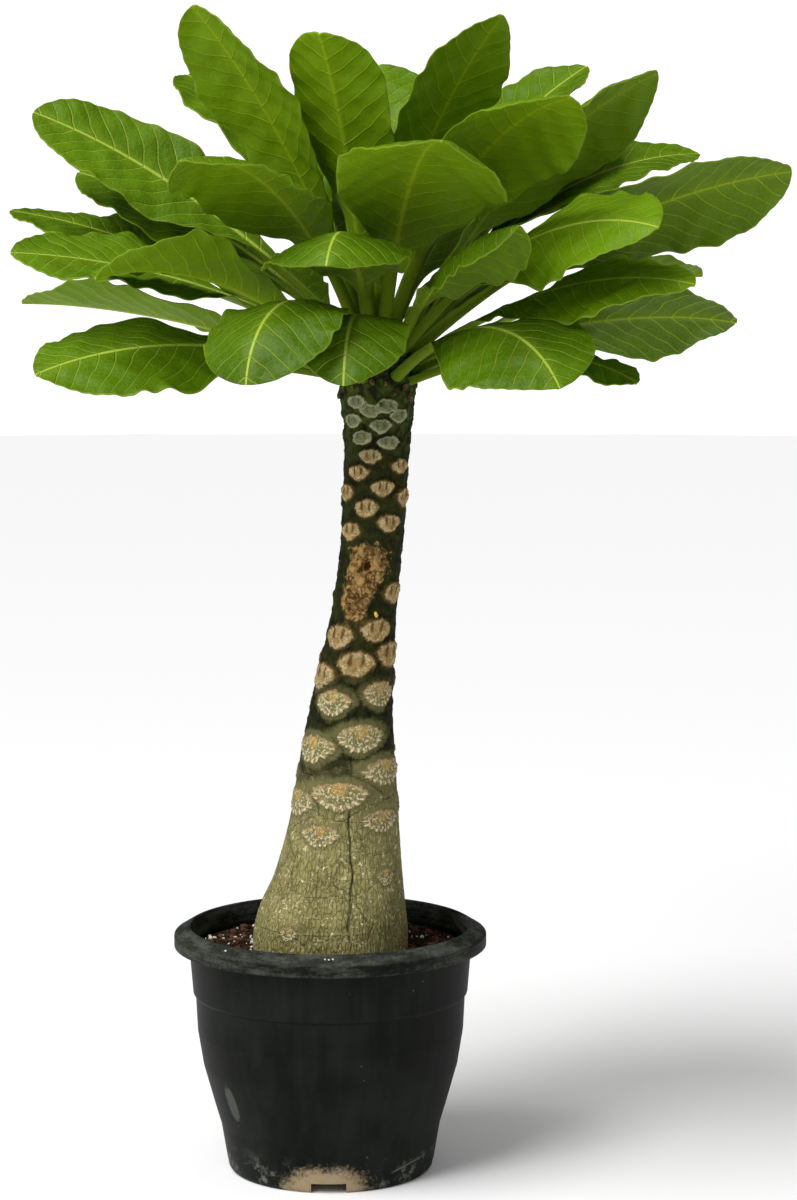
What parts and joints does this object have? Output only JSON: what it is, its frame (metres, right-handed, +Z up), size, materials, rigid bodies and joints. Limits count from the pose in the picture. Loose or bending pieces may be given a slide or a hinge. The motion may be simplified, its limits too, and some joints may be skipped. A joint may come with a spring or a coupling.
{
  "type": "potted vulcan palm",
  "caption": "Hawaiian stem succulent in a black nursery pot: a swollen scarred trunk under a domed crown of broad, wavy-edged green leaves.",
  "frame": {"origin": "middle of the pot's base, on the surface that the pot stands on", "axes": "+Z up the trunk, the front of the plant towards -Y, +X to its right, the way the trunk's top leans"},
  "size_m": [0.4705, 0.4071, 0.6937],
  "materials": {
    "pot_plastic": "matte, scuffed",
    "potting_soil": "loose peat and bark",
    "trunk_bark": "matte, finely cracked",
    "leaf_green": "satin"
  },
  "bodies": {
    "root": {"pot": "pot_plastic", "soil": "potting_soil", "trunk": "trunk_bark", "leaf_01": "leaf_green", "leaf_02": "leaf_green", "leaf_03": "leaf_green", "leaf_04": "leaf_green", "leaf_05": "leaf_green", "leaf_06": "leaf_green", "leaf_07": "leaf_green", "leaf_08": "leaf_green", "leaf_09": "leaf_green", "leaf_10": "leaf_green", "leaf_11": "leaf_green", "leaf_12": "leaf_green", "leaf_13": "leaf_green", "leaf_14": "leaf_green", "leaf_15": "leaf_green", "leaf_16": "leaf_green", "leaf_17": "leaf_green", "leaf_18": "leaf_green", "leaf_19": "leaf_green", "leaf_20": "leaf_green", "leaf_21": "leaf_green", "leaf_22": "leaf_green", "leaf_23": "leaf_green", "leaf_24": "leaf_green", "leaf_25": "leaf_green", "leaf_26": "leaf_green", "leaf_27": "leaf_green", "leaf_28": "leaf_green", "leaf_29": "leaf_green", "leaf_30": "leaf_green", "leaf_31": "leaf_green", "leaf_32": "leaf_green", "leaf_33": "leaf_green", "leaf_34": "leaf_green", "leaf_35": "leaf_green", "leaf_36": "leaf_green", "leaf_37": "leaf_green", "leaf_38": "leaf_green", "leaf_39": "leaf_green", "leaf_40": "leaf_green", "leaf_41": "leaf_green"}
  },
  "joints": []
}
